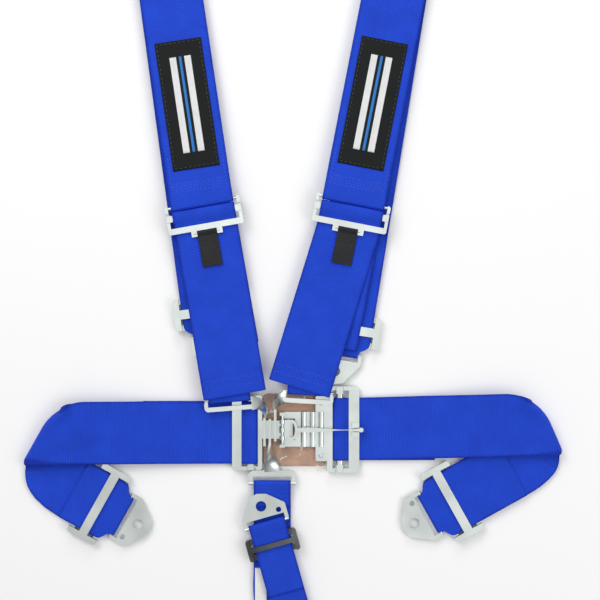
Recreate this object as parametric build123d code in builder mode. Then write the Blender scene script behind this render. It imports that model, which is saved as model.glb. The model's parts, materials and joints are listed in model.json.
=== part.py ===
from build123d import *
from math import atan2, cos, degrees, hypot, pi, radians, sin
import os

os.makedirs("parts", exist_ok=True)

# A five-point latch-and-link racing harness, laid face up on a flat surface.
# Millimetres, +Z up, +Y towards the shoulder belts, origin on the surface under the buckle pad.

# ---- driving dimensions -------------------------------------------------------------------
WEB_W = 76.2            # three-inch lap and shoulder webbing
LOOP_W = 50.8           # two-inch webbing, and three-inch webbing pinched into a bracket
CROTCH_W = 45.0
WEB_T = 1.8
PLATE_T = 3.0
CLEAR = 0.3             # webbing to metal
BOLT_R = 6.35           # anchor bolt hole radius
SMALL_R = 3.25          # locating hole radius beside it

# rounded rim that a webbing loop wraps
RIM_R = 1.8
RIM_LOOP_R = RIM_R + CLEAR + WEB_T / 2

# locking-bar adjuster, in its own frame: X towards the free webbing, Z up, origin at the bar
BAR_T = 5.0
BAR_W = 8.0
BAR_X = -1.5
BAR_TRAVEL = 2.2
BAR_TAB_MAX, BAR_TAB_GAP = 9.0, 0.65    # longest end tab, and its gap to the webbing
ROLL_R = BAR_T / 2 + CLEAR + WEB_T / 2
ROLL_BACK_X = -5.3
FRONT_Z = -1.5          # front webbing layer where it runs under the outer bar
PLATE_Z = 1.3           # middle of the frame plate
FLANGE_Z = (-3.4, 4.4)

# heights of the middle of each webbing layer
LAP_Z = 5.2             # centre of the lap locking bars
SHOULDER_Z = 15.9       # centre of the shoulder locking bars
FITTING_Z = 14.6        # rim of the shoulder fittings
CROTCH_RIM_Z = 7.9
TAIL_LOW, TAIL_HIGH = 4.3, 6.5
TAIL_RIM_Z = 5.4        # end bracket rim above the layer the tail lies on
CROTCH_TAIL_LIFT = 6.3  # the crotch tail lies on the crotch belt

ARC_STEPS = 8

# buckle
BUCKLE_Y = -3.2         # centre line of the latch
PAD_TOP = 3.0
FRAME_LOW = LAP_Z + PLATE_Z - PLATE_T / 2
TONGUE_W, TONGUE_Z = 22.0, (9.0, 12.0)
TONGUE_X = -17.5        # middle of the tongue and its length
TONGUE_LEN = 37.0
PIN_X, PIN_Z, PIN_R = -11.4, 16.5, 1.7
EAR_Y, EAR_TOP = 19.2, 3.2          # latch ears from the centre line, and above the pin
LATCH_W = 42.2
RIB_XS = [14.6 + 10.6 * i for i in range(3)]
RIVETS = [(35.7, -35.0), (35.7, 29.0)]
RIVET_R, RIVET_HEAD_R = 1.65, 3.0
LEVER_T, LEVER_TIP_X = 3.6, 84.0
HOOK_R, HOOK_LEN = 3.4, 5.0         # knuckles of the lever round its pin

# lap belt adjusters: bar centre, width over the side flanges and flange thickness
LEFT_ADJ, LEFT_SPAN, LEFT_FLANGE = (-51.5, -7.3), 90.7, 4.4
RIGHT_ADJ, RIGHT_SPAN, RIGHT_FLANGE = (59.85, -3.3), 104.6, 5.0

# shoulder adjusters, upper webs and their labels
SHOULDER_SPAN, SHOULDER_OUTER, SHOULDER_INNER = 91.5, (10.5, 17.7), (12.3, 16.5)
TAB_ROD_R, TAB_W, TAB_LEN = 1.2, 24.4, 43.0
TAB_ROD_X, TAB_ROD_Z = 2.9, PLATE_Z + 0.9      # rod beyond the outer bar, and its height
TOP_Y, UPPER_Z = 590.0, 12.3
UPPER_HEIGHTS = ((330.0, 12.3), (200.0, 13.0), (42.0, 16.4), (10.0, 20.0), (0.0, 20.2))
LABEL_W, LABEL_START, LABEL_END, LABEL_T = 57.0, 43.0, 200.0, 0.8

# eye fittings: rim middle and heading, and where each eye stands along the tongue
LEFT_RIM, LEFT_RIM_HEADING = (-75.5, 34.0), 94.5
RIGHT_RIM, RIGHT_RIM_HEADING = (20.0, 42.5), 86.3
CROTCH_X, CROTCH_RIM_Y = -23.8, -69.0
LEFT_EYE_X, RIGHT_EYE_X, CROTCH_EYE_X = -33.0, -20.0, -26.5
EYE_MID_Z, EYE_HEIGHT = 10.6, 13.4

# three-bar slides and bolt-in brackets at the belt ends
SLOT_FAR = 8.5          # far edge of a webbing slot from the rim
BRACKET_HOLE_X = 23.0
SLIDE_SPAN, SLIDE_LEN = 94.0, 39.0
SLIDE_HALF, RIM_REACH = SLIDE_LEN / 2, 30.0
CROTCH_SLIDE, CROTCH_HEADING = (-23.0, -143.0), 105.8
CROTCH_SPAN, CROTCH_SLIDE_LEN, CROTCH_REACH = 63.0, 26.0, 26.0
CROTCH_LOW = CROTCH_RIM_Z - RIM_LOOP_R
CROTCH_FOLD_Y = -310.6


def unit(heading):
    return Vector(cos(radians(heading)), sin(radians(heading)), 0)


def left_of(heading):
    return unit(heading + 90)


# ---- webbing path -------------------------------------------------------------------------
class Strap:
    """Walks a strip of webbing and keeps its two edges as pairs of points."""

    def __init__(self, x, y, z, heading, width):
        self.pos, self.heading, self.width = Vector(x, y, 0), heading, width
        self.za = self.zb = z
        self.side = 1
        self.pairs = []
        self.mark()

    def mark(self):
        half = left_of(self.heading) * (self.side * self.width / 2)
        up = Vector(0, 0, 1)
        self.pairs.append((self.pos + half + up * self.za, self.pos - half + up * self.zb))

    def go(self, length, z=None, width=None, zb=None):
        self.pos += unit(self.heading) * length
        if z is not None:
            self.za, self.zb = z, z if zb is None else zb
        self.width = width or self.width
        self.mark()

    def turn(self, angle, radius, steps=4):
        for _ in range(steps):
            chord = 2 * radius * sin(radians(abs(angle) / steps / 2))
            self.heading += angle / steps / 2
            self.pos += unit(self.heading) * chord
            self.heading += angle / steps / 2
            self.mark()

    def fold(self, new_heading, ra, rb, rise):
        """Half a turn about a crease; rise is +1 to fold up and -1 to fold down."""
        crease = unit((self.heading + new_heading) / 2)
        along = unit(self.heading).dot(crease)
        out = unit(self.heading) - crease * along
        across = out.length
        out = out * (1 / across)
        reach = crease * (self.width / 2 / crease.dot(left_of(self.heading) * self.side))
        if abs(along) > 0.01:
            self.pairs.pop()    # the square end gives way to one along the crease
        for step in range(ARC_STEPS + 1):
            turn = pi * step / ARC_STEPS
            ends = []
            for start, radius, z in ((reach, ra, self.za), (reach * -1, rb, self.zb)):
                drift = crease * ((ra + rb) / 2 * turn * along / across)
                flat = self.pos + start + out * (radius * sin(turn)) + drift
                ends.append(flat + Vector(0, 0, z + rise * radius * (1 - cos(turn))))
            if (self.pairs[-1][0] - ends[0]).length > 0.01:
                self.pairs.append(tuple(ends))
        middle = (ends[0] + ends[1]) * 0.5
        self.pos = Vector(middle.X, middle.Y, 0)
        self.za, self.zb = self.za + 2 * rise * ra, self.zb + 2 * rise * rb
        self.heading, self.side = new_heading, -self.side

    def loop(self, radius, rise):
        self.fold(self.heading + 180, radius, radius, rise)

    def aim(self, x, y):
        self.heading = degrees(atan2(y - self.pos.Y, x - self.pos.X))
        return hypot(y - self.pos.Y, x - self.pos.X)


def webbing(pairs, thickness=WEB_T):
    """One closed solid: ruled faces through thin rectangles set across the strip."""
    with BuildPart() as strip:
        for i, (a, b) in enumerate(pairs):
            before, after = pairs[max(i - 1, 0)], pairs[min(i + 1, len(pairs) - 1)]
            run = (after[0] + after[1] - before[0] - before[1])
            across = (a - b).normalized()
            ahead = (run - across * run.dot(across)).normalized()
            with BuildSketch(Plane(origin=(a + b) * 0.5, x_dir=across, z_dir=ahead)):
                Rectangle((a - b).length, thickness)
        loft(ruled=True)
    return strip.part


def save(part, label):
    part.label = label
    export_step(part, f"parts/{label}.step")


# ---- hardware shared by several belts -----------------------------------------------------
def site(x, y, z, heading):
    """Local frame of a fitting: X along the heading, Z up."""
    return Plane(origin=(x, y, z), x_dir=unit(heading), z_dir=(0, 0, 1))


def within(place, local):
    """A plane given in another plane's local frame."""
    return Plane(place.location * local.location)


def locking_bar(place, span):
    """Flat-sided bar that slides in the frame's two side slots, with square end tabs."""
    with BuildPart(place) as bar:
        end = Plane(origin=(BAR_X, -span / 2, 0), x_dir=(1, 0, 0), z_dir=(0, 1, 0))
        with BuildSketch(within(place, end)):
            SlotOverall(BAR_W, BAR_T)
        extrude(amount=span)
        tab = min(BAR_TAB_MAX, (span - WEB_W) / 2 - BAR_TAB_GAP)
        for side in (-1, 1):
            with Locations((BAR_X, side * (span - tab) / 2, BAR_T / 2 + 0.6)):
                Box(BAR_W, tab, 2.0)
    return bar.part


def adjuster_frame(place, span, outer, inner, flange_t, round_inner=False, prongs=False):
    """Stamped frame: outer bar, inner bar and two upturned side flanges with bar slots."""
    with BuildPart(place) as frame:
        with BuildSketch(place.offset(PLATE_Z - PLATE_T / 2)):
            with Locations(((outer[0] + outer[1]) / 2, 0)):
                Rectangle(outer[1] - outer[0], span)
            if not round_inner:
                with Locations((-(inner[0] + inner[1]) / 2, 0)):
                    Rectangle(inner[1] - inner[0], span)
            if prongs:
                for side in (-1, 1):
                    with Locations((outer[1] + 3.2, side * 15.6)):
                        Rectangle(7.4, 6.8)
        extrude(amount=PLATE_T)
        length = outer[1] + inner[1]
        middle = (outer[1] - inner[1]) / 2
        for side in (-1, 1):
            with Locations((middle, side * (span / 2 - flange_t / 2), sum(FLANGE_Z) / 2)):
                Box(length, flange_t, FLANGE_Z[1] - FLANGE_Z[0])
        upright = frame.edges().filter_by(Axis.Z).group_by(SortBy.LENGTH)[-1]
        outside = upright.filter_by(lambda e: abs(place.to_local_coords(e.center()).Y) > span / 2 - 0.1)
        fillet(outside, flange_t * 0.75)
        if round_inner:
            with Locations((-inner[0] - RIM_R, 0, PLATE_Z)):
                Cylinder(RIM_R, span - 2, rotation=(90, 0, 0))
        if prongs:
            with Locations((outer[1] + TAB_ROD_X, 0, TAB_ROD_Z)):
                Cylinder(TAB_ROD_R, 31, rotation=(90, 0, 0))
        slot_w = BAR_W + BAR_TRAVEL + 0.6
        with Locations((BAR_X - BAR_TRAVEL / 2, 0, 2.2)):
            Box(slot_w, span + 2, BAR_T + 5.0, mode=Mode.SUBTRACT)
    return frame.part


def pull_tab(place, outer_edge):
    """Doubled narrow tape looped round the rod between the frame's prongs."""
    rod = Plane(origin=(outer_edge + TAB_ROD_X, TAB_W / 2, TAB_ROD_Z), x_dir=(1, 0, 0), z_dir=(0, -1, 0))
    with BuildPart() as tab:
        with BuildSketch(within(place, rod)):
            Circle(TAB_ROD_R + CLEAR + 1.0)
            with Locations((TAB_LEN / 2, -1.1)):
                Rectangle(TAB_LEN, 2.2)
            Circle(TAB_ROD_R + CLEAR, mode=Mode.SUBTRACT)
        extrude(amount=TAB_W)
    return tab.part


def end_slide(place, span, length, bar_w, flange_t, lift=0.0):
    """Three-bar slide: outer bars under the webbing, middle bar over it, joined by the ends."""
    low, low_top = lift + 0.2, lift + 3.1
    high, high_top = lift + 7.7, lift + 10.7
    with BuildPart(place) as slide:
        for side in (-1, 1):
            with Locations((side * (length / 2 - 3.5), 0, (low + low_top) / 2)):
                Box(7.0, span - 1, low_top - low)
            with Locations((0, side * (span / 2 - flange_t / 2), (low + high_top) / 2)):
                Box(length, flange_t, high_top - low)
        with Locations((0, 0, (high + high_top) / 2)):
            Box(bar_w, span - 1, high_top - high)
        chamfer(slide.edges().filter_by(Axis.Z).group_by(SortBy.LENGTH)[-1], flange_t * 0.35)
    return slide.part


def end_bracket(place, slot_w):
    """Bolt-in anchor plate; X runs from the webbing rim to the bolt hole."""
    half = slot_w / 2 + 5.5
    with BuildPart(place) as plate:
        with BuildSketch(place.offset(-PLATE_T / 2)) as outline:
            with BuildLine():
                Polyline(
                    (0, -half), (0, half), (12, half), (36, 13), (39, 2), (36, -9), (20, -half), (0, -half)
                )
            make_face()
            fillet(outline.vertices(), 3.0)
            with Locations((SLOT_FAR / 2 - 1, 0)):
                Rectangle(SLOT_FAR + 2, slot_w + 2, mode=Mode.SUBTRACT)
            with Locations((BRACKET_HOLE_X, 1.0)):
                Circle(BOLT_R, mode=Mode.SUBTRACT)
            with Locations((13.6, -slot_w / 2 + 4)):
                Circle(SMALL_R, mode=Mode.SUBTRACT)
        extrude(amount=PLATE_T)
        Cylinder(RIM_R, 2 * half - 1, rotation=(90, 0, 0))
    return plate.part


def tail_path(x, y, heading, back, slide_half, reach, rim_width, lift=0.0, width=WEB_W):
    """Cut end, slide, bracket loop and back: heading is from the slide to the bracket."""
    start = Vector(x, y, 0) - unit(heading) * back
    path = Strap(start.X, start.Y, lift + TAIL_HIGH, heading, width)
    path.go(back + slide_half + 0.5, lift + TAIL_HIGH)
    path.go(reach - slide_half - 4.5, lift + TAIL_RIM_Z + RIM_LOOP_R, rim_width)
    path.go(4.0)
    path.loop(RIM_LOOP_R, -1)
    path.go(4.0)
    path.go(reach - slide_half - 4.5, lift + TAIL_LOW, width)
    path.go(slide_half + 0.5)
    return path


# ---- buckle -------------------------------------------------------------------------------
left_lap_place = site(*LEFT_ADJ, LAP_Z, 180)
right_lap_place = site(*RIGHT_ADJ, LAP_Z, 0)

with BuildPart() as buckle_pad:
    with BuildSketch():
        with Locations((3, -4.5)):
            RectangleRounded(78, 89, 8)
    extrude(amount=PAD_TOP)
save(buckle_pad.part, "buckle_pad")

with BuildPart() as pad_film:
    with BuildSketch(Plane.XY.offset(PAD_TOP)):
        with Locations((3.5, -7.5)):
            RectangleRounded(79, 95, 6)
        for spot in RIVETS:
            with Locations(spot):
                Circle(2.6, mode=Mode.SUBTRACT)
    extrude(amount=0.3)
save(pad_film.part, "pad_film")

left_frame = adjuster_frame(left_lap_place, LEFT_SPAN, (9.7, 21.1), (10.3, 15.5), LEFT_FLANGE)
with BuildPart() as link_frame:
    add(left_frame)
    with Locations((-37.0, BUCKLE_Y, (FRAME_LOW + TONGUE_Z[1]) / 2)):
        Box(4.0, TONGUE_W, TONGUE_Z[1] - FRAME_LOW)
    with Locations((TONGUE_X, BUCKLE_Y, sum(TONGUE_Z) / 2)):
        Box(TONGUE_LEN, TONGUE_W, TONGUE_Z[1] - TONGUE_Z[0])
    with Locations((-9.25, BUCKLE_Y, sum(TONGUE_Z) / 2)):
        Box(11.5, 8.0, 8, mode=Mode.SUBTRACT)
save(link_frame.part, "link_frame")

right_frame = adjuster_frame(right_lap_place, RIGHT_SPAN, (9.45, 22.2), (10.3, 17.1), RIGHT_FLANGE)
with BuildPart() as latch_frame:
    add(right_frame)
    with BuildSketch(Plane.XY.offset(FRAME_LOW)):
        with Locations((15.0, BUCKLE_Y)):
            Rectangle(56, LATCH_W)
        for sign, y in ((1, 29.5), (-1, -34.5)):
            with Locations((36.2, y)):
                RectangleRounded(14.6, 15, 2)
        with Locations((36.2, BUCKLE_Y)):
            Rectangle(14.6, 62)
        with Locations((-2.8, BUCKLE_Y)):
            Rectangle(13.6, 26, mode=Mode.SUBTRACT)
        for spot in RIVETS:
            with Locations(spot):
                Circle(RIVET_R, mode=Mode.SUBTRACT)
    extrude(amount=PLATE_T)
    for x in RIB_XS:
        with BuildSketch(Plane.XZ.offset(-(BUCKLE_Y + LATCH_W / 2))):
            with Locations((x, FRAME_LOW + PLATE_T)):
                Ellipse(3.65, 3.0)
        extrude(amount=LATCH_W)
    for side in (-1, 1):
        with Locations((PIN_X, BUCKLE_Y + side * EAR_Y, (FRAME_LOW + PIN_Z + EAR_TOP) / 2)):
            Box(6.4, 3.8, PIN_Z + EAR_TOP - FRAME_LOW)
        with Locations((77.5, -3.3 + side * 5.6, LAP_Z + PLATE_Z + 5.0)):
            Box(8.5, 5.6, 10.0)
    with Locations((PIN_X, BUCKLE_Y, PIN_Z)):
        Cylinder(PIN_R, 60, rotation=(90, 0, 0), mode=Mode.SUBTRACT)
save(latch_frame.part, "latch_frame")

with BuildPart() as lever_pivot_pin:
    with Locations((PIN_X, BUCKLE_Y, PIN_Z)):
        Cylinder(PIN_R, LATCH_W, rotation=(90, 0, 0))
save(lever_pivot_pin.part, "lever_pivot_pin")

with BuildPart() as latch_rivets:
    for spot in RIVETS:
        with BuildSketch(Plane.XY.offset(PAD_TOP)):
            with Locations(spot):
                Circle(RIVET_R)
        extrude(amount=FRAME_LOW + PLATE_T - PAD_TOP)
        with BuildSketch(Plane.XY.offset(FRAME_LOW + PLATE_T)):
            with Locations(spot):
                Circle(RIVET_HEAD_R)
        extrude(amount=1.2, taper=30)
save(latch_rivets.part, "latch_rivets")

with BuildPart() as latch_lever:
    with BuildSketch(Plane.XY.offset(PIN_Z - LEVER_T / 2)):
        with Locations((-5.5, BUCKLE_Y)):
            Rectangle(11.8, 24.6)
        with Locations((0.4, BUCKLE_Y)):
            Ellipse(6.6, 12.3)
        with Locations((-6, BUCKLE_Y)):
            Rectangle(12.8, 17.4, mode=Mode.SUBTRACT)
        with Locations((0.3, BUCKLE_Y)):
            Ellipse(3.6, 8.7, mode=Mode.SUBTRACT)
        with BuildLine(Plane.XY):
            edge = [(5.5, 2.0), (24, 2.9), (41, 1.7), (LEVER_TIP_X, 2.4)]
            top = Spline([(x, BUCKLE_Y + half) for x, half in edge])
            bottom = Spline([(x, BUCKLE_Y - half) for x, half in edge])
            Line(top @ 0, bottom @ 0)
            Line(top @ 1, bottom @ 1)
        make_face()
        with Locations((LEVER_TIP_X, BUCKLE_Y)):
            Circle(2.8)
    extrude(amount=LEVER_T)
    with Locations((-5.6, BUCKLE_Y, PIN_Z)):
        Box(7.6, 18, LEVER_T)
    with Locations([(PIN_X, BUCKLE_Y + aside, PIN_Z) for aside in (-9.8, 0, 9.8)]):
        Cylinder(HOOK_R, HOOK_LEN, rotation=(90, 0, 0))
    with Locations((PIN_X + 2.6, BUCKLE_Y, PIN_Z)):
        Box(5.2, HOOK_LEN, LEVER_T)
    with Locations((PIN_X, BUCKLE_Y, PIN_Z - 5.2)):
        Box(LEVER_T, HOOK_LEN, 5.4)
    with Locations((PIN_X, BUCKLE_Y, PIN_Z)):
        Cylinder(PIN_R + 0.05, 60, rotation=(90, 0, 0), mode=Mode.SUBTRACT)
save(latch_lever.part, "latch_lever")

for label, place, span in (
    ("left_lap_slide_bar", left_lap_place, LEFT_SPAN),
    ("right_lap_slide_bar", right_lap_place, RIGHT_SPAN),
):
    save(locking_bar(place, span), label)


# ---- eye fittings on the tongue -----------------------------------------------------------
def eye_fitting(rim, plate_far, slot_w, arm, corner, neck, eye_x, eye_y):
    """Flat slotted plate, twisted neck, and an eye on edge that the tongue passes through.

    neck lists sections as (origin, direction of travel, wide direction, width).
    """
    outline = slot_w + 2 * arm
    with BuildPart() as fitting:
        with BuildSketch(rim.offset(-PLATE_T / 2)):
            with Locations((plate_far / 2, 0)):
                RectangleRounded(plate_far, outline, corner)
            with Locations((SLOT_FAR / 2 - 2, 0)):
                Rectangle(SLOT_FAR + 4, slot_w, mode=Mode.SUBTRACT)
        extrude(amount=PLATE_T)
        rod = Plane(origin=(0, -outline / 2 + 0.5, 0), x_dir=(1, 0, 0), z_dir=(0, 1, 0))
        with BuildSketch(within(rim, rod)):
            Circle(RIM_R)
        extrude(amount=outline - 1)
        for origin, travel, wide, width in neck:
            with BuildSketch(Plane(origin=origin, x_dir=wide, z_dir=travel)):
                Rectangle(width, PLATE_T)
        loft()
        with Locations((eye_x, sum(eye_y) / 2, EYE_MID_Z)):
            Box(PLATE_T, eye_y[1] - eye_y[0], EYE_HEIGHT)
        with Locations((eye_x, BUCKLE_Y, sum(TONGUE_Z) / 2)):
            Box(PLATE_T + 1, TONGUE_W + 1.2, TONGUE_Z[1] - TONGUE_Z[0] + 1.0, mode=Mode.SUBTRACT)
    return fitting.part


def half_twist(side):
    """Wide direction halfway between lying flat and standing on edge."""
    return (0.5 * side, 0.5, 0.707)


left_fitting = eye_fitting(
    site(*LEFT_RIM, FITTING_Z, LEFT_RIM_HEADING + 180), 14.0, LOOP_W + 2, 4.5, 5.0,
    [
        ((-48.0, 29.0, FITTING_Z), (1, 0, 0), (0, 1, 0), 17.0),
        ((-35.0, 24.5, 16.6), (0.707, -0.707, 0), half_twist(1), 12.5),
        ((LEFT_EYE_X, 11.0, EYE_MID_Z), (0, -1, 0), (0, 0, 1), EYE_HEIGHT),
    ],
    LEFT_EYE_X, (-23.0, 11.5),
)
save(left_fitting, "left_shoulder_fitting")

right_fitting = eye_fitting(
    site(*RIGHT_RIM, FITTING_Z, RIGHT_RIM_HEADING + 180), 14.0, LOOP_W + 2, 4.5, 5.0,
    [
        ((-8.0, 37.5, FITTING_Z), (-1, 0, 0), (0, 1, 0), 15.0),
        ((-16.5, 32.0, 14.6), (-0.707, -0.707, 0), half_twist(-1), 14.0),
        ((RIGHT_EYE_X, 21.0, EYE_MID_Z), (0, -1, 0), (0, 0, 1), EYE_HEIGHT),
    ],
    RIGHT_EYE_X, (-17.0, 21.5),
)
save(right_fitting, "right_shoulder_fitting")

crotch_fitting = eye_fitting(
    site(CROTCH_X, CROTCH_RIM_Y, CROTCH_RIM_Z, 90), 16.0, CROTCH_W + 2, 5.7, 7.5,
    [
        ((CROTCH_X, -55.0, CROTCH_RIM_Z), (0, 1, 0), (-1, 0, 0), 19.0),
        ((-25.0, -38.0, 11.0), (0, 1, 0), (-0.707, 0, 0.707), 14.0),
        ((CROTCH_EYE_X, -20.0, EYE_MID_Z), (0, 1, 0), (0, 0, 1), EYE_HEIGHT),
    ],
    CROTCH_EYE_X, (-20.5, 10.0),
)
save(crotch_fitting, "crotch_fitting")


# ---- webbing through an adjuster ----------------------------------------------------------
def over_the_bar(path, height, back):
    """From 20 mm before the locking bar: under the outer bar, over the roll and back below."""
    path.go(11.3, height + FRONT_Z)
    path.go(6.2, height + ROLL_R)
    path.go(2.5 - ROLL_BACK_X)
    path.loop(ROLL_R, -1)
    path.go(back)


# ---- lap belts ----------------------------------------------------------------------------
lap_belts = (
    # side, slide centre, heading to the bracket, straight, bend turn, last run, edge radii,
    # adjuster, tail behind the slide, doubled length at the adjuster
    ("left", (-234.0, -94.0), -29.2, 40.0, -37.8, 27.7, (9.0, 5.0), LEFT_ADJ, 36.0, 135.0),
    ("right", (195.0, -91.0), 209.1, 90.0, 24.6, 30.0, (5.0, 9.0), RIGHT_ADJ, 84.0, 120.0),
)
for side, (sx, sy), heading, straight, bend, run, (ra, rb), adjuster, tail_len, doubled in lap_belts:
    path = tail_path(sx, sy, heading, tail_len, SLIDE_HALF, RIM_REACH, LOOP_W)
    path.go(straight)
    path.turn(bend, 60.0)
    path.go(run)
    inward = 0 if side == "left" else 180
    outer_edge_x = adjuster[0] - 20.0 * cos(radians(inward))
    new_heading = degrees(atan2(adjuster[1] - path.pos.Y, outer_edge_x - path.pos.X))
    path.fold(new_heading, ra, rb, 1)
    total = path.aim(outer_edge_x, adjuster[1])
    high, low = path.za, path.zb
    path.go(total * 0.14, high, zb=low)
    path.go(total * 0.22, 0.5 * (high + 13.0), zb=0.5 * (low + 13.0) + 0.4)
    path.go(total * 0.24, 8.5)
    path.go(total * 0.40, LAP_Z + FRONT_Z)
    path.heading = inward
    over_the_bar(path, LAP_Z, doubled)
    save(webbing(path.pairs), f"{side}_lap_web")

    place = site(sx, sy, 0, heading)
    save(end_slide(place, SLIDE_SPAN, SLIDE_LEN, 11.0, 7.0), f"{side}_lap_end_slide")
    rim = within(place, site(RIM_REACH, 0, TAIL_RIM_Z, 0))
    save(end_bracket(rim, LOOP_W), f"{side}_lap_bracket")


# ---- shoulder belts -----------------------------------------------------------------------
shoulder_belts = (
    # side, rim, rim heading, hem centre, adjuster, adjuster heading, tail slide, tail heading
    ("left", LEFT_RIM, LEFT_RIM_HEADING, (-69.0, 41.0), (-106.0, 257.0), 100.0, (-96.0, 141.0), -82.3),
    ("right", RIGHT_RIM, RIGHT_RIM_HEADING, (9.5, 49.0), (72.0, 259.0), 79.0, (60.0, 120.0), -99.3),
)

for side, rim_at, rim_heading, hem, adjuster, up_heading, slide_at, tail_heading in shoulder_belts:
    # two-inch loop from the hem round the fitting's rim
    inside = Vector(*rim_at) + unit(rim_heading) * 45.0
    loop_web = Strap(inside.X, inside.Y, 16.6, rim_heading + 180, LOOP_W)
    loop_web.go(35.0, FITTING_Z + RIM_LOOP_R)
    loop_web.go(10.0)
    loop_web.loop(RIM_LOOP_R, -1)
    loop_web.go(10.0)
    loop_web.go(28.0, 13.6)
    save(webbing(loop_web.pairs), f"{side}_loop_web")

    # lower web: hem, up the front, over the locking bar, down the back
    below = Vector(*adjuster) - unit(up_heading) * 20.0
    lean = degrees(atan2(below.Y - hem[1], below.X - hem[0]))
    start = Vector(*hem) + unit(lean) * 26.0
    lower = Strap(start.X, start.Y, 20.0, lean + 180, WEB_W)
    lower.go(26.0)
    lower.loop(1.1, 1)
    lower.go(30.0)
    total = lower.aim(below.X, below.Y)
    lower.go(total * 0.45, 15.2)
    lower.go(total * 0.50, SHOULDER_Z + FRONT_Z)
    lower.aim(below.X, below.Y)
    lower.go(total * 0.05)
    lower.heading = up_heading
    over_the_bar(lower, SHOULDER_Z, 168.0)
    save(webbing(lower.pairs), f"{side}_lower_web")

    # adjuster
    place = site(*adjuster, SHOULDER_Z, up_heading + 180)
    frame = adjuster_frame(place, SHOULDER_SPAN, SHOULDER_OUTER, SHOULDER_INNER, 3.7, True, True)
    save(frame, f"{side}_adjuster_frame")
    save(locking_bar(place, SHOULDER_SPAN), f"{side}_shoulder_slide_bar")
    save(pull_tab(place, SHOULDER_OUTER[1]), f"{side}_pull_tab")

    # upper web: tail, bracket loop, up the back, over the top fold, down to the adjuster
    path = tail_path(*slide_at, tail_heading, 120.0, SLIDE_HALF, RIM_REACH, LOOP_W)
    rise = (TOP_Y - path.pos.Y) / sin(radians(path.heading))
    path.go(rise)
    anchor = Vector(*adjuster) + unit(up_heading) * (SHOULDER_INNER[0] + RIM_R)
    down = degrees(atan2(anchor.Y - path.pos.Y, anchor.X - path.pos.X))
    path.fold(down, (UPPER_Z - TAIL_LOW) / 2, (UPPER_Z - TAIL_LOW) / 2, 1)
    approach = anchor + unit(up_heading) * UPPER_HEIGHTS[-2][0]
    left_to_go = path.aim(approach.X, approach.Y) + UPPER_HEIGHTS[-2][0]
    for distance, height in UPPER_HEIGHTS[:-1]:
        path.go(left_to_go - distance, height)
        left_to_go = distance
    label_up = path.heading + 180
    path.heading = up_heading + 180
    path.go(left_to_go, UPPER_HEIGHTS[-1][1])
    path.loop(RIM_LOOP_R, -1)
    path.go(10.0, 14.2)
    path.go(38.0, 13.9)
    save(webbing(path.pairs), f"{side}_upper_web")

    label_pairs = []
    for distance, web_z in ((LABEL_END, UPPER_HEIGHTS[1][1]), (LABEL_START, UPPER_HEIGHTS[2][1])):
        height = web_z + WEB_T / 2 + LABEL_T / 2 + 0.1
        run = distance - UPPER_HEIGHTS[-2][0]
        centre = approach + unit(label_up) * run + Vector(0, 0, height)
        half = left_of(label_up) * (LABEL_W / 2)
        label_pairs.append((centre + half, centre - half))
    save(webbing(label_pairs, LABEL_T), f"{side}_label")

    tail_place = site(*slide_at, 0, tail_heading)
    save(end_slide(tail_place, SLIDE_SPAN, SLIDE_LEN, 11.0, 7.0), f"{side}_shoulder_end_slide")
    rim = within(tail_place, site(RIM_REACH, 0, TAIL_RIM_Z, 0))
    save(end_bracket(rim, LOOP_W), f"{side}_shoulder_bracket")


# ---- crotch belt --------------------------------------------------------------------------
path = tail_path(
    *CROTCH_SLIDE, CROTCH_HEADING, 60.0, CROTCH_SLIDE_LEN / 2, CROTCH_REACH, CROTCH_W, CROTCH_TAIL_LIFT, CROTCH_W
)
path.go((CROTCH_FOLD_Y - path.pos.Y) / sin(radians(path.heading)))
fold_r = (CROTCH_TAIL_LIFT + TAIL_LOW - CROTCH_LOW) / 2
path.fold(120, fold_r, fold_r, -1)
path.go(64.0)
path.turn(-30, 120.0)
path.go(path.aim(CROTCH_X, CROTCH_RIM_Y - 100))
path.heading = 90
path.go(100.0)
path.loop(RIM_LOOP_R, 1)
path.go(4.0, CROTCH_RIM_Z + RIM_LOOP_R - 0.3)
path.go(10.0, 7.3)
path.go(14.0, 7.2)
save(webbing(path.pairs), "crotch_web")

with BuildPart() as crotch_tag:
    with BuildSketch(Plane.XY.offset(CROTCH_LOW + WEB_T / 2 + 0.05)):
        with Locations((CROTCH_X - 14.0, -195.0)):
            Rectangle(14.0, 46.0)
    extrude(amount=0.5)
save(crotch_tag.part, "crotch_tag")

place = site(*CROTCH_SLIDE, 0, CROTCH_HEADING)
crotch_slide = end_slide(place, CROTCH_SPAN, CROTCH_SLIDE_LEN, 6.0, 5.0, CROTCH_TAIL_LIFT)
save(crotch_slide, "crotch_end_slide")
rim = within(place, site(CROTCH_REACH, 0, CROTCH_TAIL_LIFT + TAIL_RIM_Z, 0))
save(end_bracket(rim, CROTCH_W), "crotch_bracket")
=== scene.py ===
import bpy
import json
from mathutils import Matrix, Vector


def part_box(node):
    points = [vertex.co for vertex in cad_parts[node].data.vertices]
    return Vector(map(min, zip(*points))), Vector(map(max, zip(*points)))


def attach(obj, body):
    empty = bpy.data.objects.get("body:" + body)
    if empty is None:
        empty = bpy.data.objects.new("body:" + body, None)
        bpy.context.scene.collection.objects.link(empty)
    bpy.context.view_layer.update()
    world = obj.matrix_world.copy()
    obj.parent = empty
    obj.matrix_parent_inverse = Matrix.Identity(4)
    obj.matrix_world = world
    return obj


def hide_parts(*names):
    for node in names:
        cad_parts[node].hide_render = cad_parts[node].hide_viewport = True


bl_info = {
    "name": "Racing harness",
    "version": (1, 0, 0),
    "blender": (4, 5, 0),
    "location": "3D View > Sidebar > Harness",
    "description": "Dresses the harness frame with webbing, labels, tabs, a leather pad and metal finishes",
    "category": "Object",
}

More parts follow.
